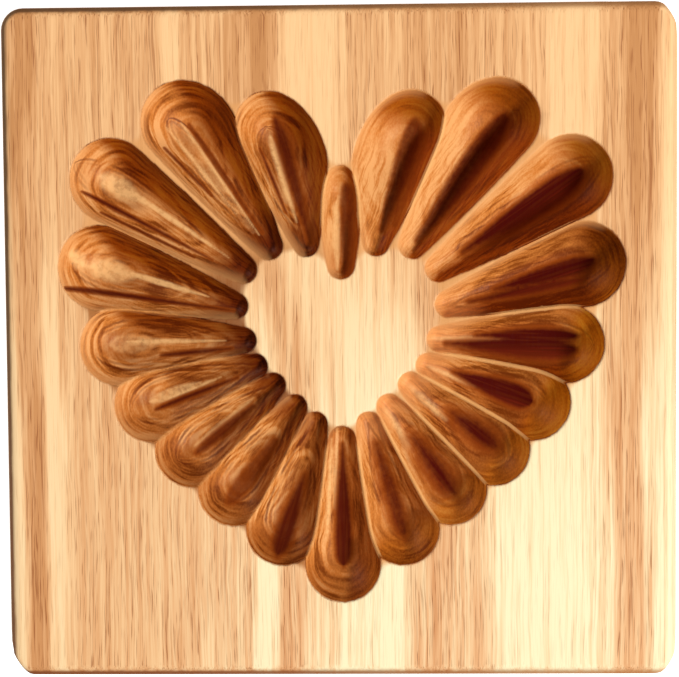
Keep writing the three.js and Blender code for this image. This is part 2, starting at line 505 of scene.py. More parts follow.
@dataclass
class FaceLattice:
    """A square lattice over the face that is fine at rims and ridges and coarse on level wood."""

    half: float = 56.0
    cells: int = 800
    largest: int = 16
    tolerance: float = 0.017

    def grid(self) -> np.ndarray:
        """The places of the lattice lines."""
        return np.linspace(-self.half, self.half, self.cells + 1)

    @property
    def spacing(self) -> float:
        """Distance between the lattice lines."""
        return 2 * self.half / self.cells

    def leaves(self, relief: np.ndarray) -> list[tuple[int, int, int]]:
        """Splits the face into square cells until each follows the relief closely.

        Args:
            relief: The relief at every crossing of the lattice.

        Returns:
            Cells as (column, row, size), in lattice steps.
        """
        found = []
        size = self.largest
        alive = np.ones((self.cells // size, self.cells // size), bool)
        while size > 1:
            split = alive & (self.roughness(relief, size) > self.tolerance)
            columns, rows = np.nonzero(alive & ~split)
            found += [(c * size, r * size, size) for c, r in zip(columns.tolist(), rows.tolist())]
            alive = np.kron(split, np.ones((2, 2), bool))
            size //= 2
        columns, rows = np.nonzero(alive)
        return found + [(c, r, 1) for c, r in zip(columns.tolist(), rows.tolist())]

    def roughness(self, relief: np.ndarray, size: int) -> np.ndarray:
        """How far the relief leaves a flat patch, for each cell of one size.

        Args:
            relief: The relief at every crossing of the lattice.
            size: The cells' size in lattice steps.

        Returns:
            The largest gap in each cell.
        """
        count = self.cells // size
        corners = relief[::size, ::size]
        worst = np.zeros((count, count))
        for i in range(size + 1):
            for j in range(size + 1):
                a, b = i / size, j / size
                near_edge = corners[:-1, :-1] * (1 - b) + corners[:-1, 1:] * b
                far_edge = corners[1:, :-1] * (1 - b) + corners[1:, 1:] * b
                flat = near_edge * (1 - a) + far_edge * a
                here = relief[i : i + count * size : size, j : j + count * size : size][:count, :count]
                worst = np.maximum(worst, np.abs(here - flat))
        return worst

    def polygons(self, leaves: list[tuple[int, int, int]]) -> tuple[np.ndarray, list[list[int]]]:
        """Turns cells into polygons that share every corner with their neighbours.

        Args:
            leaves: Cells as (column, row, size).

        Returns:
            The lattice crossings in use, and the polygons as numbers into them.
        """
        used = np.zeros((self.cells + 1, self.cells + 1), bool)
        for column, row, size in leaves:
            used[column, row] = used[column + size, row] = True
            used[column, row + size] = used[column + size, row + size] = True
        number = np.full(used.shape, -1)
        number[used] = np.arange(used.sum())
        polygons = []
        for column, row, size in leaves:
            low_to_high, high_to_low = np.arange(size), np.arange(size, 0, -1)
            around = np.concatenate(
                [
                    number[column + low_to_high, row],
                    number[column + size, row + low_to_high],
                    number[column + high_to_low, row + size],
                    number[column, row + high_to_low],
                ]
            )
            polygons.append(around[around >= 0].tolist())
        return np.argwhere(used), polygons


Socket = bpy.types.NodeSocket
Tint = tuple[float, float, float, float]


@dataclass(frozen=True)
class Colour:
    """A colour as a screen shows it, each part from 0 to 255."""

    red: int
    green: int
    blue: int

    @property
    def tint(self) -> Tint:
        """The same colour in linear light, as a shader takes it, with full alpha."""
        # A screen's own curve is straight in the darkest part and a power above it.
        shares = [part / 255 for part in (self.red, self.green, self.blue)]
        return (*[s / 12.92 if s <= 0.04045 else ((s + 0.055) / 1.055) ** 2.4 for s in shares], 1.0)


class Blend(Enum):
    """How one colour goes over another."""

    MIX = "MIX"
    MULTIPLY = "MULTIPLY"


@dataclass(frozen=True)
class Ease:
    """A smooth passage between two numbers while another runs from its start to its end."""

    start: float
    end: float
    before: float = 0.0
    after: float = 1.0


@dataclass(frozen=True)
class Figure:
    """A cloudy pattern in the wood, by the size of its clouds in millimetres.

    The shift moves the pattern, so that two patterns of one size differ. Detail is the number of finer
    layers, and roughness says how strong those are.
    """

    across: float
    along: float
    through: float
    shift: float = 0.0
    detail: float = 1.0
    roughness: float = 0.5


class ShaderBench:
    """Lays out the nodes of one material."""

    SHIFT_SHARES = (1.0, 0.7, 1.3)

    def __init__(self, name: str) -> None:
        """Starts an empty material.

        Args:
            name: The material's name.
        """
        self.material = bpy.data.materials.new(name)
        self.material.use_nodes = True
        self.tree = self.material.node_tree
        self.tree.nodes.clear()
        self.output = self.tree.nodes.new("ShaderNodeOutputMaterial")

    def feed(self, socket: Socket, value: object) -> None:
        """Links a socket, or sets its number or colour.

        Args:
            socket: The input to feed.
            value: A socket to link, a colour or a number.
        """
        if isinstance(value, bpy.types.NodeSocket):
            self.tree.links.new(value, socket)
        else:
            socket.default_value = value.tint if isinstance(value, Colour) else value

    def math(self, operation: str, *values: object, clamp: bool = False) -> Socket:
        """A sum on numbers.

        Args:
            operation: The math node's operation.
            values: One to three sockets or numbers.
            clamp: Whether the result is kept from 0 to 1.

        Returns:
            The result's socket.
        """
        node = self.tree.nodes.new("ShaderNodeMath")
        node.operation = operation
        node.use_clamp = clamp
        for socket, value in zip(node.inputs, values):
            self.feed(socket, value)
        return node.outputs[0]

    def total(self, *values: object) -> Socket:
        """The sum of several sockets or numbers."""
        return reduce(lambda so_far, value: self.math("ADD", so_far, value), values)

    def product(self, *values: object) -> Socket:
        """The product of several sockets or numbers."""
        return reduce(lambda so_far, value: self.math("MULTIPLY", so_far, value), values)

    def most(self, *values: object) -> Socket:
        """The largest of several sockets or numbers."""
        return reduce(lambda so_far, value: self.math("MAXIMUM", so_far, value), values)

    def stirred(self, value: object, pattern: Socket, amount: float) -> Socket:
        """A number moved by some amount of a pattern."""
        return self.math("MULTIPLY_ADD", pattern, amount, value)

    def about_zero(self, pattern: Socket) -> Socket:
        """A cloudy pattern that averages zero instead of a half."""
        return self.math("SUBTRACT", pattern, 0.5)

    def ease(self, value: Socket, ease: Ease) -> Socket:
        """Takes a number through a smooth passage, without leaving its range.

        Args:
            value: The number that runs.
            ease: The passage.

        Returns:
            The eased number's socket.
        """
        node = self.tree.nodes.new("ShaderNodeMapRange")
        node.interpolation_type = "SMOOTHSTEP"
        for socket, item in zip(node.inputs, (value, ease.start, ease.end, ease.before, ease.after)):
            self.feed(socket, item)
        return node.outputs[0]

    def between(self, share: Socket, low: Socket, high: Socket) -> Socket:
        """A number between two others.

        Args:
            share: How far it lies from the first to the second.
            low: The first number.
            high: The second number.

        Returns:
            The number's socket.
        """
        node = self.tree.nodes.new("ShaderNodeMix")
        self.feed(node.inputs[0], share)
        self.feed(node.inputs[2], low)
        self.feed(node.inputs[3], high)
        return node.outputs[0]

    def noise(self, place: Socket, detail: float = 1.0, roughness: float = 0.5) -> Socket:
        """Cloudy noise, about a half on average.

        Args:
            place: Coordinates counted in clouds.
            detail: How many finer layers it has.
            roughness: How strong they are.

        Returns:
            The noise's socket.
        """
        node = self.tree.nodes.new("ShaderNodeTexNoise")
        self.feed(node.inputs["Vector"], place)
        node.inputs["Scale"].default_value = 1.0
        node.inputs["Detail"].default_value = detail
        node.inputs["Roughness"].default_value = roughness
        return node.outputs[0]

    def line_noise(self, value: Socket, detail: float = 1.0, roughness: float = 0.5) -> Socket:
        """Noise along one number.

        Args:
            value: The number, counted in features.
            detail: How many finer layers it has.
            roughness: How strong they are.

        Returns:
            The noise's socket.
        """
        node = self.tree.nodes.new("ShaderNodeTexNoise")
        node.noise_dimensions = "1D"
        self.feed(node.inputs["W"], value)
        node.inputs["Scale"].default_value = 1.0
        node.inputs["Detail"].default_value = detail
        node.inputs["Roughness"].default_value = roughness
        return node.outputs[0]

    def figure(self, place: Socket, figure: Figure, ease: Ease | None = None) -> Socket:
        """A cloudy pattern of the wood.

        Args:
            place: The place in millimetres.
            figure: The pattern.
            ease: A passage to take the pattern through, if it needs one.

        Returns:
            The pattern's socket.
        """
        node = self.tree.nodes.new("ShaderNodeMapping")
        self.feed(node.inputs["Vector"], place)
        node.inputs["Scale"].default_value = (1 / figure.across, 1 / figure.along, 1 / figure.through)
        node.inputs["Location"].default_value = [figure.shift * share for share in self.SHIFT_SHARES]
        pattern = self.noise(node.outputs[0], figure.detail, figure.roughness)
        return pattern if ease is None else self.ease(pattern, ease)

    def mix(self, share: object, under: object, over: object, blend: Blend = Blend.MIX) -> Socket:
        """One colour over another.

        Args:
            share: How much of the upper colour shows.
            under: The lower colour.
            over: The upper colour.
            blend: How it goes over.

        Returns:
            The mixed colour's socket.
        """
        node = self.tree.nodes.new("ShaderNodeMix")
        node.data_type = "RGBA"
        node.blend_type = blend.value
        self.feed(node.inputs[0], share)
        self.feed(node.inputs[6], under)
        self.feed(node.inputs[7], over)
        return node.outputs[2]

    def ramp(self, value: Socket, stops: list[tuple[float, Tint]]) -> Socket:
        """Colours laid along a number.

        Args:
            value: The number, from 0 to 1.
            stops: Places along it with their colours in linear light.

        Returns:
            The colour's socket.
        """
        node = self.tree.nodes.new("ShaderNodeValToRGB")
        elements = node.color_ramp.elements
        while len(elements) < len(stops):
            elements.new(0.5)
        for element, (position, tint) in zip(elements, stops):
            element.position = position
            element.color = tint
        self.feed(node.inputs[0], value)
        return node.outputs[0]

    def joined(self, x: object, y: object, z: object) -> Socket:
        """Three numbers joined to one place.

        Args:
            x: The place's first part, a socket or a plain number.
            y: Its second part.
            z: Its third part.

        Returns:
            The place's socket.
        """
        node = self.tree.nodes.new("ShaderNodeCombineXYZ")
        for socket, value in zip(node.inputs, (x, y, z)):
            self.feed(socket, value)
        return node.outputs[0]

    def object_place(self) -> tuple[Socket, Socket, Socket, Socket]:
        """The place on the object.

        Returns:
            The place in millimetres, and its three parts.
        """
        coordinates = self.tree.nodes.new("ShaderNodeTexCoord")
        scale = self.tree.nodes.new("ShaderNodeVectorMath")
        scale.operation = "SCALE"
        scale.inputs["Scale"].default_value = 1 / MM
        self.feed(scale.inputs[0], coordinates.outputs["Object"])
        parts = self.tree.nodes.new("ShaderNodeSeparateXYZ")
        self.feed(parts.inputs[0], scale.outputs[0])
        return (scale.outputs[0], *parts.outputs)

    def stored(self, name: str) -> Socket:
        """A number stored at the mesh's points.

        Args:
            name: The attribute's name.

        Returns:
            The number's socket.
        """
        node = self.tree.nodes.new("ShaderNodeAttribute")
        node.attribute_name = name
        return node.outputs["Fac"]


@dataclass(frozen=True)
class GrowthRings:
    """The tree's growth layers, round a pith that lies far under the board."""

    pith_x: float = -4.0
    pith_depth: float = 170.0
    thickness: float = 0.66
    wander: Figure = Figure(26.0, 150.0, 22.0, detail=2.0)
    wander_width: float = 6.0
    ripple: Figure = Figure(6.0, 30.0, 6.0, 7.0, detail=2.0)
    ripple_width: float = 0.9

    def shade(self, bench: ShaderBench, place: Socket, x: Socket, z: Socket) -> Socket:
        """How light the growth layer at a place is.

        Args:
            bench: The bench that the material is laid out on.
            place: The place in millimetres.
            x: Its part across the board.
            z: Its height.

        Returns:
            The shade's socket.
        """
        beside = bench.math("POWER", bench.math("SUBTRACT", x, self.pith_x), 2.0)
        above = bench.math("POWER", bench.math("ADD", z, self.pith_depth), 2.0)
        radius = bench.math("SQRT", bench.math("ADD", beside, above))
        radius = bench.stirred(radius, bench.figure(place, self.wander), self.wander_width)
        radius = bench.stirred(radius, bench.figure(place, self.ripple), self.ripple_width)
        return bench.line_noise(bench.math("DIVIDE", radius, self.thickness))


@dataclass(frozen=True)
class Spot:
    """What the finish knows of the spot that it colours."""

    place: Socket
    x: Socket
    y: Socket
    z: Socket
    layers: Socket
    along: Socket
    across: Socket
    hollow_depth: Socket
    ridge: Socket
    lean: Socket
    soak: Socket

    @classmethod
    def on(cls, bench: ShaderBench, rings: GrowthRings) -> "Spot":
        """Reads the place, the growth layers and the numbers stored at the board's points.

        Args:
            bench: The bench that the material is laid out on.
            rings: The growth layers.

        Returns:
            The spot.
        """
        place, x, y, z = bench.object_place()
        layers = rings.shade(bench, place, x, z)
        names = ("along", "across", "hollow_depth", "ridge", "lean", "soak")
        return cls(place, x, y, z, layers, *[bench.stored(name) for name in names])


@dataclass(frozen=True)
class Zone:
    """A part of the board where some change shows, with an ease for each measure that bounds it."""

    x: Ease | None = None
    y: Ease | None = None
    z: Ease | None = None
    along: Ease | None = None
    hollow_depth: Ease | None = None
    ridge: Ease | None = None
    lean: Ease | None = None

    def share(self, bench: ShaderBench, spot: Spot) -> Socket:
        """How much of the change shows at a spot.

        Args:
            bench: The bench that the material is laid out on.
            spot: The spot.

        Returns:
            The share's socket.
        """
        bounds = {name: ease for name, ease in vars(self).items() if ease is not None}
        return bench.product(*[bench.ease(getattr(spot, name), ease) for name, ease in bounds.items()])


class Shade(Enum):
    """How light a band of the face's grain is; the value is its place on the wood's colour scale."""

    PALE = 0.95
    FAIR = 0.72
    BROWN = 0.34
    DARK = 0.08


@dataclass(frozen=True)
class Band:
    """One band of lighter or darker grain, between two places across the board."""

    left: float
    right: float
    shade: Shade


@dataclass(frozen=True)
class LevelWood:
    """The level face: plain-sawn hardwood, with bands, streaks and pores along the grain, and painted light
    that pales it towards the lower right.
    """

    pale: Colour = Colour(254, 205, 148)
    fair: Colour = Colour(248, 195, 138)
    brown: Colour = Colour(227, 167, 112)
    dark: Colour = Colour(206, 144, 90)
    # Paler copies of the colours above, for painted light towards the lower right, where the lamp is nearer.
    pale_lit: Colour = Colour(253, 239, 193)
    fair_lit: Colour = Colour(251, 218, 168)
    brown_lit: Colour = Colour(238, 184, 132)
    dark_lit: Colour = Colour(218, 154, 102)
    pore: Colour = Colour(160, 96, 54)
    half_face: float = 60.0
    usual_shade: float = 0.5
    band_softness: float = 4.0
    narrowest_gap: float = 2.6
    band_shift: float = -4.0
    wander: Figure = Figure(60.0, 45.0, 60.0, 11.0)
    wander_width: float = 5.0
    feather: Figure = Figure(1.6, 60.0, 1.6, 13.0)
    feather_width: float = 3.0
    foot_to_head: Ease = Ease(-5.0, 36.0)
    bend: Figure = Figure(9.0, 22.0, 9.0, 83.0, detail=2.0, roughness=0.6)
    bend_width: float = 1.1
    streak: Figure = Figure(1.2, 70.0, 1.2, 5.0, detail=2.0, roughness=0.6)
    streak_shade: Ease = Ease(0.25, 0.75, -0.2, 0.16)
    fibre: Figure = Figure(0.3, 16.0, 0.3, 3.0, detail=2.0, roughness=0.6)
    fibre_shade: Ease = Ease(0.3, 0.7, -0.14, 0.14)
    layer_shade: Ease = Ease(0.3, 0.7, -0.06, 0.06)
    # Painted light: towards the lower right the face turns to the paler copies.
    lit_lower_right: Zone = Zone(x=Ease(-45.0, -2.0, 0.35, 1.0), y=Ease(42.0, -42.0))
    hair: Figure = Figure(0.15, 6.0, 0.15, 17.0)
    hair_strength: Ease = Ease(0.57, 0.7)
    hair_by_shade: Ease = Ease(0.95, 0.15, 0.18, 0.85)
    thread: Figure = Figure(0.5, 24.0, 0.5, 89.0)
    thread_strength: Ease = Ease(0.62, 0.74, 0.0, 0.5)
    thread_by_shade: Ease = Ease(0.95, 0.4)

    @staticmethod
    def head_bands() -> list[Band]:
        """Lays out the bands at the board's upper edge.

        Returns:
            The bands from left to right.
        """
        return [
            Band(-60.5, -58.4, Shade.FAIR),
            Band(-57.4, -55.4, Shade.DARK),
            Band(-31.4, -28.2, Shade.PALE),
            Band(-20.6, -16.2, Shade.BROWN),
            Band(-15.8, -11.8, Shade.DARK),
            Band(-10.0, 0.6, Shade.PALE),
            Band(9.6, 22.4, Shade.BROWN),
            Band(36.8, 45.6, Shade.PALE),
            Band(46.4, 50.4, Shade.BROWN),
            Band(50.6, 56.0, Shade.DARK),
            Band(57.2, 60.5, Shade.PALE),
        ]

    @staticmethod
    def foot_bands() -> list[Band]:
        """Lays out the bands at the board's lower edge.

        Returns:
            The bands from left to right.
        """
        return [
            Band(-60.5, -56.6, Shade.PALE),
            Band(-56.0, -53.2, Shade.DARK),
            Band(-51.8, -49.2, Shade.PALE),
            Band(-16.4, -12.4, Shade.PALE),
            Band(-11.8, -7.2, Shade.BROWN),
            Band(-6.6, -1.6, Shade.FAIR),
            Band(-1.2, 11.6, Shade.PALE),
            Band(14.0, 19.4, Shade.BROWN),
            Band(26.6, 47.0, Shade.PALE),
            Band(50.4, 53.6, Shade.BROWN),
            Band(56.0, 60.5, Shade.PALE),
        ]

    def banding(self, bench: ShaderBench, x: Socket, bands: list[Band]) -> Socket:
        """The shade of the bands across the board.

        Args:
            bench: The bench that the material is laid out on.
            x: The place across the board.
            bands: The bands, from left to right.

        Returns:
            The shade's socket.
        """
        stops = []
        for band, after in zip(bands, [*bands[1:], None]):
            # A narrow band eases over no more than a third of its width.
            ease = min(self.band_softness, (band.right - band.left) / 3) / 2
            stops += [(band.left + ease, band.shade.value), (band.right - ease, band.shade.value)]
            if after is not None and after.left - band.right > self.narrowest_gap:
                stops += [(band.right + ease, self.usual_shade), (after.left - ease, self.usual_shade)]
        span = 2 * self.half_face
        share = bench.math("DIVIDE", bench.math("ADD", x, self.half_face), span)
        grey = [((place + self.half_face) / span, (shade, shade, shade, 1.0)) for place, shade in stops]
        return bench.ramp(share, grey)

    def on_scale(self, bench: ShaderBench, shade: Socket, colours: tuple[Colour, ...]) -> Socket:
        """Turns a shade into a colour.

        Args:
            bench: The bench that the material is laid out on.
            shade: The shade.
            colours: The colours of a dark, a brown, a fair and a pale band.

        Returns:
            The colour's socket.
        """
        shades = (Shade.DARK, Shade.BROWN, Shade.FAIR, Shade.PALE)
        return bench.ramp(shade, [(own.value, colour.tint) for own, colour in zip(shades, colours)])

    def colour(self, bench: ShaderBench, spot: Spot) -> Socket:
        """The colour of the level wood.

        Args:
            bench: The bench that the material is laid out on.
            spot: The spot to colour.

        Returns:
            The colour's socket.
        """
        moved = bench.math("ADD", spot.x, self.band_shift)
        moved = bench.stirred(moved, bench.figure(spot.place, self.wander), self.wander_width)
        moved = bench.stirred(moved, bench.figure(spot.place, self.feather), self.feather_width)
        head = self.banding(bench, moved, self.head_bands())
        foot = self.banding(bench, moved, self.foot_bands())
        bands = bench.between(bench.ease(spot.y, self.foot_to_head), foot, head)

        bent_x = bench.stirred(spot.x, bench.figure(spot.place, self.bend), self.bend_width)
        bent = bench.joined(bent_x, spot.y, spot.z)
        streaks = bench.figure(bent, self.streak, self.streak_shade)
        fibres = bench.figure(bent, self.fibre, self.fibre_shade)
        shade = bench.total(bands, streaks, fibres, bench.ease(spot.layers, self.layer_shade))
        warm = self.on_scale(bench, shade, (self.dark, self.brown, self.fair, self.pale))
        # Painted light: the paler copies, mixed in towards the lower right.
        lit_scale = (self.dark_lit, self.brown_lit, self.fair_lit, self.pale_lit)
        lit_lower_right = self.on_scale(bench, shade, lit_scale)
        wood = bench.mix(self.lit_lower_right.share(bench, spot), warm, lit_lower_right)
        hairs = bench.figure(bent, self.hair, self.hair_strength)
        wood = bench.mix(bench.product(hairs, bench.ease(shade, self.hair_by_shade)), wood, self.pore)
        threads = bench.figure(bent, self.thread, self.thread_strength)
        return bench.mix(bench.product(threads, bench.ease(shade, self.thread_by_shade)), wood, self.pore)


@dataclass(frozen=True)
class OiledHollowsWithPaintedShading:
    """The hollows: oil and use soaked deep into the cut wood, with its figure bared by the gouge, painted
    shade on walls turned from the lamp, at the left tails and in the heads, and painted light on walls, rims
    and tails turned to it.
    """

    pale: Colour = Colour(228, 162, 98)
    mid: Colour = Colour(200, 120, 52)
    dark: Colour = Colour(134, 66, 16)
    colour_places: tuple[float, float, float] = (0.05, 0.5, 0.95)
    # Painted light on the tails at the right, whose end walls face the lamp.
    lit_tail: Colour = Colour(236, 156, 92)
    lit_wall: Colour = Colour(226, 160, 98)
    # Tints that the wood is multiplied by where oil and painted shade darken it, browner at the left.
    oil_and_shade_right: Tint = (0.62, 0.32, 0.07, 1.0)
    oil_and_shade_left: Tint = (0.47, 0.25, 0.04, 1.0)
    # Tints of the painted shade in the heads at the right, the upper heads and the lower ones.
    head_shade_tint: Tint = (0.58, 0.38, 0.06, 1.0)
    low_head_shade_tint: Tint = (0.95, 0.71, 0.1, 1.0)
    # Tint of the painted shade at the tails of the left petals.
    left_tail_shade: Tint = (0.45, 0.32, 0.3, 1.0)

    leftness: Zone = Zone(x=Ease(8.0, -10.0))
    rightness: Zone = Zone(x=Ease(3.0, 8.0))
    lowness: Zone = Zone(y=Ease(20.0, 4.0))
    base_shade: Ease = Ease(0.0, 1.0, 0.58, 0.56)

    stir: Figure = Figure(5.0, 5.0, 5.0, 47.0)
    line_step: float = 0.66
    line_stir: float = 1.1
    line_shade: Ease = Ease(0.3, 0.7, -0.5, 0.36)
    line_patches: Figure = Figure(4.0, 4.0, 4.0, 71.0)
    patch_strength: Ease = Ease(0.35, 0.65, 0.35, 1.0)
    layer_shade: Ease = Ease(0.3, 0.7, -0.08, 0.08)
    contrast: Ease = Ease(0.0, 1.0, 0.5, 1.0)
    changes_along: float = 2.4
    change_by_petal: float = 0.07
    strand_width: float = 0.45
    strand_stir: float = 1.4
    strand_detail: float = 2.0
    strand_roughness: float = 0.6
    strand_shade: Ease = Ease(0.32, 0.62, -0.24, 0.16)
    stem: Zone = Zone(along=Ease(0.95, 0.6))
    cloud: Figure = Figure(7.0, 12.0, 7.0, 23.0)
    cloud_shade: Ease = Ease(0.25, 0.75, -0.15, 0.15)
    grit: Figure = Figure(0.35, 0.6, 0.35, 53.0)
    grit_shade: Ease = Ease(0.3, 0.7, -0.07, 0.07)

    head: Zone = Zone(along=Ease(0.92, 1.16))
    # Painted light: walls turned towards the lamp are drawn lighter.
    painted_light_on_walls: Zone = Zone(lean=Ease(-0.9, -0.2, 0.12, 0.0))
    upper_right: Zone = Zone(y=Ease(10.0, 42.0, -0.12, 0.32))
    dark_far_right: Zone = Zone(x=Ease(18.0, 28.0, 0.0, 0.3), y=Ease(34.0, 18.0))
    dark_upper_head: Zone = Zone(
        x=Ease(44.0, 30.0, 0.2, 1.0), y=Ease(8.0, 24.0, 0.0, 0.34), along=Ease(0.6, 1.0)
    )
    # Painted light: lifts the heads at the lower right, less towards the foot, where it turns slightly
    # darker.
    low_head_painted_light: Ease = Ease(-20.0, -36.0, 0.4, -0.05)
    dark_foot: Zone = Zone(y=Ease(-32.0, -42.0, 0.0, 0.18))

    # Painted shade: walls turned away from the lamp are darkened.
    wall_from_light: Zone = Zone(lean=Ease(-0.05, 0.62))
    # Painted shade at the left tails, whose end walls turn from the lamp.
    tail_in_shade: Zone = Zone(along=Ease(0.45, 0.0))
    # Painted shade in the heads at the right and in the lower heads at the left.
    right_head_shade: float = 0.96
    low_left_head_shade: Zone = Zone(y=Ease(-4.0, -22.0, 0.0, 0.85))
    # A darkening inside the outlines, stronger at the right.
    inside_outline: Ease = Ease(-0.7, 0.5)
    inside_outline_darkening: Ease = Ease(0.0, 1.0, 0.45, 0.15)
    # The painted shade is weaker towards the foot and at the far left.
    less_shade_towards_foot: Zone = Zone(y=Ease(-30.0, -8.0, 0.7, 1.0))
    less_shade_far_left: Zone = Zone(x=Ease(-14.0, -24.0, 0.0, 0.26), y=Ease(8.0, -4.0))

    tail: Zone = Zone(along=Ease(0.32, -0.02))
    # Painted shade at the tails of the left petals, strongest in the upper ones.
    shaded_left_tail: Zone = Zone(x=Ease(-1.0, -7.0), y=Ease(-14.0, -2.0, 0.4, 1.0))
    # Painted light: the tails at the right, below the cleft, are paler.
    lit_right_tail: Zone = Zone(x=Ease(2.0, 6.0, 0.0, 0.5), y=Ease(11.0, 3.0))
    lit_rim: Zone = Zone(y=Ease(-28.0, 0.0), hollow_depth=Ease(0.2, 2.6, 0.6, 0.0), lean=Ease(0.1, -0.5))

    def figured(self, bench: ShaderBench, spot: Spot, leftness: Socket) -> Socket:
        """The shade of the wood's own figure, as the gouge bares it.

        Args:
            bench: The bench that the material is laid out on.
            spot: The spot to colour.
            leftness: How far the spot lies to the left.

        Returns:
            The shade's socket.
        """
        stir = bench.figure(spot.place, self.stir)
        forward = bench.math("MULTIPLY", spot.along, self.changes_along)
        petal = bench.math("MULTIPLY", bench.math("ADD", spot.x, spot.y), self.change_by_petal)
        step = bench.math("DIVIDE", bench.stirred(spot.hollow_depth, stir, self.line_stir), self.line_step)
        lines = bench.ease(bench.noise(bench.joined(step, forward, petal)), self.line_shade)
        patches = bench.figure(spot.place, self.line_patches, self.patch_strength)
        lined = bench.total(bench.product(lines, patches), bench.ease(spot.layers, self.layer_shade))
        lined = bench.product(lined, bench.ease(leftness, self.contrast))
        strand = bench.math("DIVIDE", bench.stirred(spot.across, stir, self.strand_stir), self.strand_width)
        strands = bench.noise(bench.joined(strand, forward, petal), self.strand_detail, self.strand_roughness)
        return bench.total(
            lined,
            bench.product(bench.ease(strands, self.strand_shade), self.stem.share(bench, spot)),
            bench.figure(spot.place, self.cloud, self.cloud_shade),
            bench.figure(spot.place, self.grit, self.grit_shade),
            bench.ease(leftness, self.base_shade),
        )

    def oil_and_shade(
        self, bench: ShaderBench, spot: Spot, leftness: Socket, right_head: Socket, head: Socket
    ) -> Socket:
        """How far oil and painted shade darken the wood.

        Args:
            bench: The bench that the material is laid out on.
            spot: The spot to colour.
            leftness: How far the spot lies to the left.
            right_head: How far it lies in a wide end at the right.
            head: How far it lies in any wide end.

        Returns:
            The share's socket.
        """
        inside = bench.ease(bench.stored(Tone.OUTLINE.value), self.inside_outline)
        # Mostly painted shade: walls turned from the lamp, the left tails and the heads; also a darkening
        # inside the outlines.
        oil_and_shade = bench.most(
            self.wall_from_light.share(bench, spot),
            bench.product(self.tail_in_shade.share(bench, spot), leftness),
            bench.product(right_head, self.right_head_shade),
            bench.product(head, leftness, self.low_left_head_shade.share(bench, spot)),
            bench.product(inside, bench.ease(leftness, self.inside_outline_darkening)),
        )
        # Less painted shade at the far left and towards the foot.
        shade_kept = bench.math("SUBTRACT", 1.0, self.less_shade_far_left.share(bench, spot))
        return bench.product(oil_and_shade, self.less_shade_towards_foot.share(bench, spot), shade_kept)

    def colour(self, bench: ShaderBench, spot: Spot) -> Socket:
        """The colour of the hollows.

        Args:
            bench: The bench that the material is laid out on.
            spot: The spot to colour.

        Returns:
            The colour's socket.
        """
        leftness = self.leftness.share(bench, spot)
        rightness = self.rightness.share(bench, spot)
        lowness = self.lowness.share(bench, spot)
        head = self.head.share(bench, spot)
        right_head = bench.product(head, rightness)
        low_head_painted_light = bench.ease(spot.y, self.low_head_painted_light)
        not_left = bench.math("SUBTRACT", 1.0, leftness)
        shade = bench.total(
            self.figured(bench, spot, leftness),
            # Painted light on walls turned to the lamp.
            self.painted_light_on_walls.share(bench, spot),
            bench.product(self.upper_right.share(bench, spot), not_left),
            # Painted light on the heads at the lower right.
            bench.product(right_head, lowness, low_head_painted_light),
        )
        darker = bench.total(
            self.dark_far_right.share(bench, spot),
            bench.product(self.dark_upper_head.share(bench, spot), rightness),
            self.dark_foot.share(bench, spot),
        )
        shade = bench.math("SUBTRACT", shade, darker)
        tints = [colour.tint for colour in (self.dark, self.mid, self.pale)]
        wood = bench.ramp(shade, list(zip(self.colour_places, tints)))

        # The tint of oil and painted shade, browner at the left and with its own tints in the right heads.
        oil_and_shade_tint = bench.mix(leftness, self.oil_and_shade_right, self.oil_and_shade_left)
        oil_and_shade_tint = bench.mix(right_head, oil_and_shade_tint, bench.mix(lowness, self.head_shade_tint, self.low_head_shade_tint))
        wood = bench.mix(self.oil_and_shade(bench, spot, leftness, right_head, head), wood, oil_and_shade_tint, Blend.MULTIPLY)
        tail = self.tail.share(bench, spot)
        # Painted shade darkens the tails of the left petals.
        left_tail_shaded = bench.product(tail, self.shaded_left_tail.share(bench, spot))
        wood = bench.mix(left_tail_shaded, wood, self.left_tail_shade, Blend.MULTIPLY)
        # Painted light pales the tails at the right.
        wood = bench.mix(bench.product(tail, self.lit_right_tail.share(bench, spot)), wood, self.lit_tail)
        return bench.mix(self.lit_rim.share(bench, spot), wood, self.lit_wall)


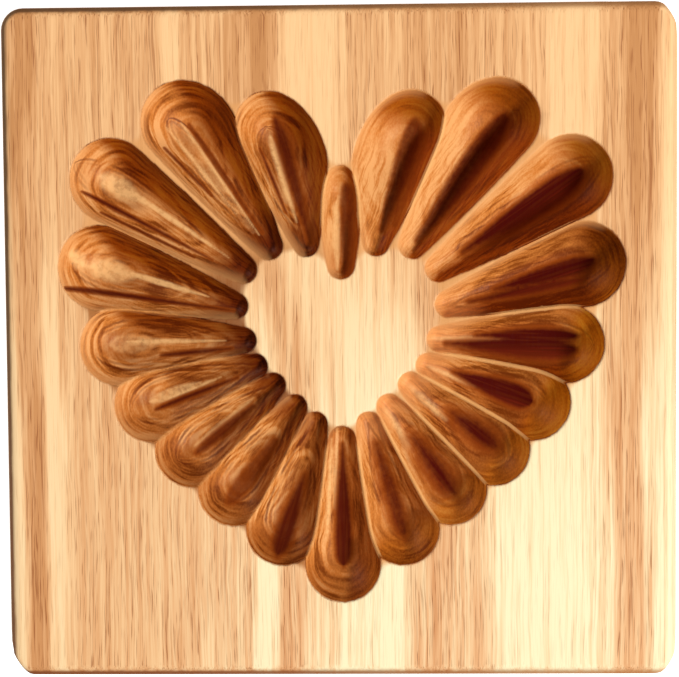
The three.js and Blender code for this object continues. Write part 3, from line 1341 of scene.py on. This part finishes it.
@dataclass(frozen=True)
class GrowthLenses:
    """The slender lenses in the hollows, dark growth layers with painted shadow and pale ones with painted
    highlights, their outlines, and painted highlights along the ridges between petals.
    """

    # Dark lenses: a dark growth layer with painted core shadow, redder towards the shaded wall.
    dark_layer_and_shadow: Colour = Colour(72, 6, 1)
    dark_layer_and_shadow_red: Colour = Colour(126, 40, 12)
    dark_layer_and_shadow_left: Colour = Colour(80, 16, 2)
    # Painted shade round the dark lenses.
    shade_halo: Colour = Colour(148, 66, 8)
    outline: Colour = Colour(96, 32, 4)
    # Pale lenses: a pale growth layer, with painted highlights along floors and in heads.
    pale_layer_and_highlight: Colour = Colour(244, 190, 124)
    # Painted highlight along the rounded ridges between petals.
    ridge: Colour = Colour(240, 180, 112)

    rough_edge: Figure = Figure(1.1, 1.1, 1.1, 31.0, detail=2.0, roughness=0.6)
    edge_stir: float = 0.45
    pale_stir: float = 0.5
    outline_insets: tuple[tuple[float, float], ...] = ((0.0, 0.5), (0.8, 0.3), (1.5, 0.25))
    outline_width: Ease = Ease(0.05, 0.4)
    outline_breaks: Figure = Figure(6.0, 6.0, 6.0, 61.0)
    break_strength: Ease = Ease(0.35, 0.6)
    bolder_left: Zone = Zone(x=Ease(-2.0, -12.0, 1.0, 1.5))
    pale_edge: Ease = Ease(-0.5, 0.45, 0.0, 0.8)
    flecks: Ease = Ease(0.3, 0.62, 0.62, 1.0)
    thread_width: float = 0.55
    thread_changes_along: float = 1.6
    thread_depth: Ease = Ease(0.35, 0.55, 0.9, 1.0)
    shade_halo_edge: Ease = Ease(-1.1, -0.2, 0.0, 0.8)
    dark_edge: Ease = Ease(-0.7, 0.5)
    fainter_left: Zone = Zone(x=Ease(2.0, 8.0, 0.93, 1.0))
    red_feather: float = 3.6
    red_side: Ease = Ease(2.0, 5.6, 0.0, 0.85)
    right_core: Zone = Zone(x=Ease(-4.0, 1.0))
    # Painted highlight where the ridges between petals curve over.
    ridge_highlight: Zone = Zone(x=Ease(-8.0, 0.0, 0.12, 0.55), hollow_depth=Ease(0.4, 1.0), ridge=Ease(0.8, 2.2))

    def outlined(self, bench: ShaderBench, spot: Spot, stir: Socket, wood: Socket) -> Socket:
        """Draws the thin growth lines round each petal's middle.

        Args:
            bench: The bench that the material is laid out on.
            spot: The spot to colour.
            stir: What makes their edges uneven.
            wood: The hollows' colour.

        Returns:
            The colour's socket.
        """
        outline = bench.total(bench.stored(Tone.OUTLINE.value), stir)
        breaks = bench.figure(spot.place, self.outline_breaks, self.break_strength)
        bolder = self.bolder_left.share(bench, spot)
        for inset, strength in self.outline_insets:
            off = bench.math("ABSOLUTE", bench.math("SUBTRACT", outline, inset))
            line = bench.ease(off, replace(self.outline_width, before=strength, after=0.0))
            wood = bench.mix(bench.product(line, breaks, bolder), wood, self.outline)
        return wood

    def over(self, bench: ShaderBench, spot: Spot, wood: Socket) -> Socket:
        """Lays the lenses, their outlines and the ridges over the hollows.

        Args:
            bench: The bench that the material is laid out on.
            spot: The spot to colour.
            wood: The hollows' colour.

        Returns:
            The colour's socket.
        """
        rough = bench.figure(spot.place, self.rough_edge)
        stir = bench.product(bench.about_zero(rough), self.edge_stir)
        wood = self.outlined(bench, spot, stir, wood)
        # Pale lenses, partly painted highlights.
        pale = bench.ease(bench.stirred(bench.stored(Tone.PALE.value), stir, self.pale_stir), self.pale_edge)
        wood = bench.mix(bench.product(pale, bench.ease(rough, self.flecks)), wood, self.pale_layer_and_highlight)

        beside = bench.math("DIVIDE", spot.across, self.thread_width)
        forward = bench.math("MULTIPLY", spot.along, self.thread_changes_along)
        threads = bench.noise(bench.joined(beside, forward, 0.0))
        # Dark lenses: growth layer and painted shadow, with painted shade round them.
        dark = bench.total(bench.stored(Tone.DARK.value), stir)
        wood = bench.mix(bench.ease(dark, self.shade_halo_edge), wood, self.shade_halo)
        red = bench.ease(bench.stirred(spot.across, threads, self.red_feather), self.red_side)
        right_core = bench.mix(red, self.dark_layer_and_shadow, self.dark_layer_and_shadow_red)
        core = bench.mix(self.right_core.share(bench, spot), self.dark_layer_and_shadow_left, right_core)
        fainter = self.fainter_left.share(bench, spot)
        deep = bench.ease(dark, self.dark_edge)
        deep = bench.product(deep, fainter, bench.ease(threads, self.thread_depth))
        wood = bench.mix(deep, wood, core)
        # Painted highlight along the ridges.
        return bench.mix(self.ridge_highlight.share(bench, spot), wood, self.ridge)


@dataclass(frozen=True)
class RimsAndEdges:
    """The strips between hollows, the hollows' ragged rims, the board's end grain, and painted shade on its
    rounded edges.
    """

    strip: Colour = Colour(226, 160, 98)
    # Painted shade on the strips between the lower left petals, and darker between their tails.
    shaded_strip_left: Colour = Colour(168, 100, 46)
    shaded_tail_strip: Colour = Colour(116, 56, 20)
    end_tone: Colour = Colour(196, 130, 74)
    # Painted shade on the rounded edges, greyer at the top and redder at the foot.
    edge_shade: Colour = Colour(84, 56, 36)
    edge_shade_low: Colour = Colour(120, 60, 30)

    uneven: Figure = Figure(1.4, 6.0, 1.4, 97.0, detail=2.0, roughness=0.6)
    leftward: Zone = Zone(x=Ease(2.0, -8.0))
    below_cleft: Zone = Zone(y=Ease(22.0, 6.0))
    soak_left: float = 0.03
    soak_uneven: float = 0.12
    soaked: Ease = Ease(0.68, 0.88, 0.0, 0.9)
    tails_middle: tuple[float, float] = (-4.0, 4.0)
    near_tails: Ease = Ease(25.0, 18.0, 0.0, 0.8)
    rim_uneven: float = 0.5
    rim: Ease = Ease(-0.05, 0.35)
    cut: Zone = Zone(hollow_depth=Ease(0.0, 0.08))
    end_grain: Ease = Ease(58.1, 59.6, 0.0, 0.75)
    arris_uneven: float = 0.3
    arris: Ease = Ease(20.0, 19.55)
    # Painted shade on the rounded top edge, strongest at the left, away from the lamp.
    shaded_edge: Zone = Zone(x=Ease(58.0, -40.0, 0.25, 0.85), z=Ease(17.5, 19.0), hollow_depth=Ease(0.05, 0.0))
    edge_shade_towards_foot: Zone = Zone(y=Ease(20.0, -40.0))

    def strip_colour(self, bench: ShaderBench, spot: Spot, lower_left: Socket) -> Socket:
        """The colour of the soaked wood between the hollows, with painted shade on the strips at the lower
        left and more between the tails.

        Args:
            bench: The bench that the material is laid out on.
            spot: The spot to colour.
            lower_left: How far it lies in the heart's lower left.

        Returns:
            The colour's socket.
        """
        strip = bench.mix(lower_left, self.strip, self.shaded_strip_left)
        middle_x, middle_y = self.tails_middle
        offs = bench.math("SUBTRACT", spot.x, middle_x), bench.math("SUBTRACT", spot.y, middle_y)
        inward = bench.math("SQRT", bench.total(*[bench.math("POWER", off, 2.0) for off in offs]))
        # Painted shade between the tails.
        between_tails = bench.product(lower_left, bench.ease(inward, self.near_tails))
        return bench.mix(between_tails, strip, self.shaded_tail_strip)

    def joined(self, bench: ShaderBench, spot: Spot, face: Socket, hollows: Socket) -> Socket:
        """The whole board's colour, from the level face's and the hollows'.

        Args:
            bench: The bench that the material is laid out on.
            spot: The spot to colour.
            face: The level face's colour.
            hollows: The hollows' colour.

        Returns:
            The colour's socket.
        """
        noise = bench.figure(spot.place, self.uneven)
        uneven = bench.about_zero(noise)
        leftward = self.leftward.share(bench, spot)
        lower_left = bench.product(leftward, self.below_cleft.share(bench, spot))
        soak = bench.stirred(bench.stirred(spot.soak, leftward, self.soak_left), uneven, self.soak_uneven)
        face = bench.mix(bench.ease(soak, self.soaked), face, self.strip_colour(bench, spot, lower_left))
        ragged = bench.ease(bench.stirred(spot.hollow_depth, uneven, self.rim_uneven), self.rim)
        wood = bench.mix(bench.product(ragged, self.cut.share(bench, spot)), face, hollows)
        wood = bench.mix(bench.ease(bench.math("ABSOLUTE", spot.y), self.end_grain), wood, self.end_tone)
        # Painted shade on the rounded edge.
        on_edge = bench.ease(bench.stirred(spot.z, noise, self.arris_uneven), self.arris)
        edge_shade = bench.mix(self.edge_shade_towards_foot.share(bench, spot), self.edge_shade, self.edge_shade_low)
        return bench.mix(bench.product(on_edge, self.shaded_edge.share(bench, spot)), wood, edge_shade)


@dataclass(frozen=True)
class OiledWood:
    """The mould's finish: hand-sanded hardwood, pale on its face and soaked with oil in the carving, with
    painted light and painted shade in its colours.
    """

    rings: GrowthRings = GrowthRings()
    level: LevelWood = LevelWood()
    hollows: OiledHollowsWithPaintedShading = OiledHollowsWithPaintedShading()
    lenses: GrowthLenses = GrowthLenses()
    edges: RimsAndEdges = RimsAndEdges()
    gloss_level: float = 0.07
    fibre: Figure = Figure(0.3, 12.0, 0.3, 41.0, detail=2.0, roughness=0.6)
    fibre_roughness: Ease = Ease(0.3, 0.7, 0.42, 0.58)
    dark_dullness: Ease = Ease(-1.4, 0.0, 0.0, 0.4)
    relief: float = 0.05
    relief_strength: float = 0.35
    layer_relief: float = 0.6

    def material(self) -> bpy.types.Material:
        """Builds the finish.

        Returns:
            The material.
        """
        bench = ShaderBench("oiled_wood_and_painted_light")
        spot = Spot.on(bench, self.rings)
        face = self.level.colour(bench, spot)
        hollows = self.lenses.over(bench, spot, self.hollows.colour(bench, spot))

        shader = bench.tree.nodes.new("ShaderNodeBsdfPrincipled")
        bench.feed(shader.inputs["Base Color"], self.edges.joined(bench, spot, face, hollows))
        shader.inputs["Specular IOR Level"].default_value = self.gloss_level
        fibre = bench.figure(spot.place, self.fibre)
        dull = bench.ease(bench.stored(Tone.DARK.value), self.dark_dullness)
        rough = bench.math("ADD", bench.ease(fibre, self.fibre_roughness), dull, clamp=True)
        bench.feed(shader.inputs["Roughness"], rough)
        bump = bench.tree.nodes.new("ShaderNodeBump")
        bump.inputs["Strength"].default_value = self.relief_strength
        bump.inputs["Distance"].default_value = self.relief * MM
        bench.feed(bump.inputs["Height"], bench.stirred(fibre, spot.layers, self.layer_relief))
        bench.feed(shader.inputs["Normal"], bump.outputs[0])
        bench.feed(bench.output.inputs["Surface"], shader.outputs[0])
        return bench.material


@dataclass(frozen=True)
class SandedCorner:
    """One upright corner of the board, knocked off by hand with a sanding block."""

    across: int
    up: int
    run_x: float
    run_y: float
    softness: float = 0.35
    fade_start: float = 2.0
    fade_length: float = 3.0

    def sand(self, points: np.ndarray, half: float) -> np.ndarray:
        """Draws in what stands beyond the sanded flat.

        Args:
            points: Points of the board's outside, in its frame.
            half: Half the board's side.

        Returns:
            The points after sanding.
        """
        normal = np.array([self.across * self.run_y, self.up * self.run_x, 0.0])
        normal /= np.linalg.norm(normal)
        start = np.array([self.across * (half - self.run_x), self.up * half, 0.0])
        beyond = (points - start) @ normal
        kept = (beyond - np.sqrt(beyond**2 + self.softness**2)) / 2
        near = np.clip(1 + (beyond + self.fade_start) / self.fade_length, 0.0, 1.0)
        return points + np.outer((kept - beyond) * near, normal)


@dataclass
class CarvedBoard:
    """The board, with its carved face, rounded edges, sides and plain back.

    The lattice is finer along the streaks too, as if they were cut the streak detail deep. The lean is
    how far a wall turns from the light, and the soak reaches that far from the hollows.
    """

    side: float = 120.0
    thickness: float = 20.0
    edge_round: float = 2.4
    corner_radius: float = 1.6
    round_steps: int = 8
    corner_steps: int = 8
    side_steps: int = 8
    streak_detail: float = 0.08
    streak_reach: float = 0.6
    lean_from_x: float = -0.88
    lean_from_y: float = 0.52
    lean_offset: float = 0.2
    lean_turn: float = 12.0
    soak_reach: float = 1.8
    heart: PetalHeart = field(default_factory=PetalHeart)
    lattice: FaceLattice = field(default_factory=FaceLattice)
    corners: tuple[SandedCorner, ...] = (
        SandedCorner(1, 1, 2.7, 4.2),
        SandedCorner(-1, -1, 3.4, 4.8),
        SandedCorner(1, -1, 2.6, 4.4),
    )
    finish: OiledWood = OiledWood()

    @staticmethod
    def blurred(values: np.ndarray, reach: float, spacing: float) -> np.ndarray:
        """Values on the lattice, each averaged with its neighbours.

        Args:
            values: One value at every crossing of the lattice.
            reach: How far the averaging reaches, as one standard deviation.
            spacing: Distance between the lattice lines.

        Returns:
            The averaged values.
        """
        # Beyond three reaches a neighbour weighs almost nothing.
        steps = math.ceil(3 * reach / spacing)
        weights = np.exp(-0.5 * (np.arange(-steps, steps + 1) * spacing / reach) ** 2)
        weights /= weights.sum()
        for axis in (0, 1):
            margins = [(steps, steps) if a == axis else (0, 0) for a in (0, 1)]
            padded = np.pad(values, margins, mode="edge")
            count = values.shape[axis]
            values = sum(w * np.take(padded, range(k, k + count), axis) for k, w in enumerate(weights))
        return values

    def border(self, places: np.ndarray) -> tuple[list[int], np.ndarray]:
        """The outermost lattice points, in order round the board.

        Args:
            places: The lattice crossings in use.

        Returns:
            For each station round the edge its point's number and its outward direction. A corner has
            several stations, which share one point.
        """
        last, quarter = self.lattice.cells, math.pi / 2
        stations, outward = [], []
        for turn, (fixed_axis, fixed_at) in enumerate(((1, 0), (0, last), (1, last), (0, 0))):
            on_side = np.flatnonzero(places[:, fixed_axis] == fixed_at)
            order = np.argsort(places[on_side, 1 - fixed_axis])
            # The far side and the left side are walked backwards.
            if turn >= 2:
                order = order[::-1]
            faces_to = quarter * (turn - 1)
            stations += on_side[order].tolist()
            outward += [faces_to] * len(order)
            stations += [stations[-1]] * (self.corner_steps - 1)
            outward += [faces_to + quarter * step / self.corner_steps for step in range(1, self.corner_steps)]
        angles = np.array(outward)
        return stations, np.stack([np.cos(angles), np.sin(angles), np.zeros(len(angles))], axis=1)

    def profile(self) -> list[tuple[float, float]]:
        """Steps from the face's lattice over the rounded edge and down the side to the back.

        Returns:
            The steps, as (distance outwards, height).
        """
        low, high = self.edge_round, self.thickness - self.edge_round
        top = []
        for step in range(self.round_steps + 1):
            turn = math.pi / 2 * step / self.round_steps
            outwards = self.corner_radius + self.edge_round * math.sin(turn)
            top.append((outwards, self.thickness - self.edge_round * (1 - math.cos(turn))))
        heights = [high + (low - high) * step / self.side_steps for step in range(1, self.side_steps)]
        wall = [(self.corner_radius + self.edge_round, height) for height in heights]
        bottom = [(outwards, self.thickness - height) for outwards, height in reversed(top)]
        return top + wall + bottom

    def outside(self, points: np.ndarray, places: np.ndarray) -> tuple[np.ndarray, list[list[int]]]:
        """The rounded edges, the sides and the back.

        Args:
            points: The face's points.
            places: Their lattice crossings.

        Returns:
            The new points, and the polygons that join them to the face's.
        """
        stations, outward = self.border(places)
        count = len(stations)
        rings, faces = [], []
        previous = stations
        for outwards, height in self.profile():
            ring = points[stations] + outward * outwards
            ring[:, 2] = height
            start = len(points) + count * len(rings)
            rings.append(ring)
            current = list(range(start, start + count))
            for k in range(count):
                after = (k + 1) % count
                corners = [previous[k], current[k], current[after], previous[after]]
                faces.append(corners[:3] if corners[0] == corners[3] else corners)
            previous = current
        faces.append(previous[::-1])
        outside = np.concatenate(rings)
        for corner in self.corners:
            outside = corner.sand(outside, self.side / 2)
        return outside, faces

    def finish_values(self, carving: Carving, depth: np.ndarray) -> dict[str, np.ndarray]:
        """What the finish needs to know, at every crossing of the lattice.

        Args:
            carving: The carving as it was cut.
            depth: Its depth after sanding.

        Returns:
            The values by the names they are stored under.
        """
        spacing = self.lattice.spacing
        slope_x, slope_y = np.gradient(depth, spacing)
        bend = np.gradient(slope_x, spacing, axis=0) + np.gradient(slope_y, spacing, axis=1)
        sideways = self.lean_offset + np.tanh(self.lattice.grid() / self.lean_turn)[:, None]
        return {
            "hollow_depth": depth,
            "ridge": bend,
            "along": carving.along,
            "across": carving.across,
            "lean": self.lean_from_x * slope_x + self.lean_from_y * sideways * slope_y,
            "soak": self.blurred((depth > 0).astype(float), self.soak_reach, spacing),
            **{tone.value: values for tone, values in carving.streaks.items()},
        }

    def shape(self) -> bpy.types.Mesh:
        """Builds the board's mesh.

        Returns:
            The mesh, with the values for the finish stored at each of its points.
        """
        lines, spacing = self.lattice.grid(), self.lattice.spacing
        carving = self.heart.carve(*np.meshgrid(lines, lines, indexing="ij"))
        depth = np.maximum(self.blurred(carving.depth, self.heart.gouge.rim_sanding, spacing), 0.0)
        reach = self.streak_reach
        detail = sum(np.clip(values, -reach, reach) for values in carving.streaks.values())
        places, polygons = self.lattice.polygons(self.lattice.leaves(depth + self.streak_detail * detail))
        at = (places[:, 0], places[:, 1])
        points = np.stack([lines[at[0]], lines[at[1]], self.thickness - depth[at]], axis=1)
        outside, more = self.outside(points, places)

        mesh = bpy.data.meshes.new("carved_board")
        mesh.from_pydata((np.concatenate([points, outside]) * MM).tolist(), [], polygons + more)
        mesh.polygons.foreach_set("use_smooth", [True] * len(mesh.polygons))
        mesh.update()
        self.shade_from_slopes(mesh, *[slope[at] for slope in np.gradient(depth, spacing)])
        off_face = np.zeros(len(outside), np.float32)
        for name, values in self.finish_values(carving, depth).items():
            attribute = mesh.attributes.new(name, "FLOAT", "POINT")
            on_face = values[at].astype(np.float32)
            attribute.data.foreach_set("value", np.concatenate([on_face, off_face]))
        return mesh

    def build(self) -> bpy.types.Object:
        """Builds the board and dresses it in its finish.

        Returns:
            The board.
        """
        mesh = self.shape()
        mesh.materials.append(self.finish.material())
        board = bpy.data.objects.new("carved_board", mesh)
        bpy.context.scene.collection.objects.link(board)
        return board

    @staticmethod
    def shade_from_slopes(mesh: bpy.types.Mesh, slope_x: np.ndarray, slope_y: np.ndarray) -> None:
        """Gives the face's points the normals of the true surface.

        Args:
            mesh: The board's mesh, the face's points first.
            slope_x: How fast the carving deepens across the board, at each of those points.
            slope_y: How fast it deepens up the board.
        """
        smooth = np.zeros(len(mesh.vertices) * 3, np.float32)
        mesh.vertex_normals.foreach_get("vector", smooth)
        smooth = smooth.reshape(-1, 3)
        true = np.stack([slope_x, slope_y, np.ones(len(slope_x))], axis=1)
        smooth[: len(true)] = true / np.linalg.norm(true, axis=1)[:, None]
        mesh.normals_split_custom_set_from_vertices(smooth.tolist())


@dataclass(frozen=True)
class Lamp:
    """A round soft lamp that looks at the board from one side.

    The angle is counted from the board's right, and the height up from the floor, both in degrees. The
    distance and the size are in metres and the power in watts.
    """

    name: str
    angle: float
    height: float
    distance: float
    size: float
    power: float

    def hang(self) -> None:
        """Hangs the lamp, turned to the board."""
        light = bpy.data.lights.new(self.name, "AREA")
        light.shape = "DISK"
        light.size = self.size
        light.energy = self.power
        holder = bpy.data.objects.new(self.name, light)
        around, up = math.radians(self.angle), math.radians(self.height)
        towards = Vector((math.cos(around) * math.cos(up), math.sin(around) * math.cos(up), math.sin(up)))
        holder.location = towards * self.distance
        holder.rotation_euler = towards.to_track_quat("Z", "Y").to_euler()
        bpy.context.scene.collection.objects.link(holder)


@dataclass
class Studio:
    """A plain pale floor, a lamp at the right, a weaker one at the left, and pale air all round.

    Its lengths are in metres. The floor lies a hair under the board, so that the two don't coincide.
    """

    floor_size: float = 6.0
    floor_gap: float = 0.00005
    floor_shade: float = 0.8
    floor_lift: float = 0.85
    ambient: float = 0.08
    lamps: tuple[Lamp, ...] = (
        Lamp("key", angle=-25.0, height=42.0, distance=1.8, size=0.21, power=38.8),
        Lamp("fill", angle=140.0, height=24.0, distance=1.1, size=0.5, power=6.0),
    )

    def build(self) -> None:
        """Lays the floor, hangs the lamps and sets the world."""
        self.lay_floor()
        for lamp in self.lamps:
            lamp.hang()
        self.set_world()

    @staticmethod
    def camera_ray(tree: bpy.types.NodeTree) -> Socket:
        """Whether a ray comes straight from the camera."""
        return tree.nodes.new("ShaderNodeLightPath").outputs["Is Camera Ray"]

    def lay_floor(self) -> None:
        """Makes the pale floor, which shows white to the camera apart from shadows."""
        half = self.floor_size / 2
        mesh = bpy.data.meshes.new("floor")
        level = -self.floor_gap
        corners = [(-half, -half, level), (half, -half, level), (half, half, level), (-half, half, level)]
        mesh.from_pydata(corners, [], [(0, 1, 2, 3)])
        floor = bpy.data.objects.new("floor", mesh)
        bpy.context.scene.collection.objects.link(floor)
        bench = ShaderBench("pale_floor")
        diffuse = bench.tree.nodes.new("ShaderNodeBsdfDiffuse")
        diffuse.inputs["Color"].default_value = (self.floor_shade, self.floor_shade, self.floor_shade, 1.0)
        glow = bench.tree.nodes.new("ShaderNodeEmission")
        lift = bench.math("MULTIPLY", self.camera_ray(bench.tree), self.floor_lift)
        bench.feed(glow.inputs["Strength"], lift)
        both = bench.tree.nodes.new("ShaderNodeAddShader")
        bench.feed(both.inputs[0], diffuse.outputs[0])
        bench.feed(both.inputs[1], glow.outputs[0])
        bench.feed(bench.output.inputs["Surface"], both.outputs[0])
        mesh.materials.append(bench.material)

    def set_world(self) -> None:
        """Fills the air with even light, white to the camera."""
        world = bpy.data.worlds.new("pale_air")
        world.use_nodes = True
        tree = world.node_tree
        background = next(node for node in tree.nodes if node.type == "BACKGROUND")
        background.inputs["Color"].default_value = (1.0, 1.0, 1.0, 1.0)
        strength = tree.nodes.new("ShaderNodeMapRange")
        strength.inputs["To Min"].default_value = self.ambient
        strength.inputs["To Max"].default_value = 1.0
        tree.links.new(self.camera_ray(tree), strength.inputs["Value"])
        tree.links.new(strength.outputs[0], background.inputs["Strength"])
        bpy.context.scene.world = world


@dataclass
class PhotoCamera:
    """The camera, almost straight above the board.

    Its turn points along the axis that turns the board's frame into the camera's, and is as long as the
    angle in degrees. Its place is in millimetres. Both are fitted to the board's corners and rims.
    """

    image_width: float = 679.0
    focal_pixels: float = 1500.0
    sensor: float = 36.0
    nearest: float = 0.01
    furthest: float = 50.0
    turn: tuple[float, float, float] = (2.6710777, -1.28121736, 0.4140536)
    place: tuple[float, float, float] = (5.97010137, 13.23846649, 286.02895605)

    def build(self) -> None:
        """Places the camera and makes it the scene's."""
        lens = bpy.data.cameras.new("camera")
        lens.sensor_width = self.sensor
        lens.lens = self.focal_pixels * self.sensor / self.image_width
        lens.clip_start = self.nearest
        lens.clip_end = self.furthest
        turn = Vector([math.radians(part) for part in self.turn])
        board_to_camera = Matrix.Rotation(turn.length, 3, turn.normalized())
        holder = bpy.data.objects.new("camera", lens)
        moved = Matrix.Translation(Vector(self.place) * MM)
        holder.matrix_world = moved @ board_to_camera.transposed().to_4x4()
        bpy.context.scene.collection.objects.link(holder)
        bpy.context.scene.camera = holder


def main() -> None:
    """Builds the mould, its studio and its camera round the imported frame."""
    logging.basicConfig(level=logging.INFO, format="%(name)s: %(message)s")
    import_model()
    bpy.context.scene.view_settings.view_transform = "Standard"
    PhotoCamera().build()
    Studio().build()
    board = CarvedBoard().build()
    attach(board, "root")
    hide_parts("mould_board")
    LOG.info("%s: %d points, %d faces", board.name, len(board.data.vertices), len(board.data.polygons))


if __name__ == "__main__":
    main()
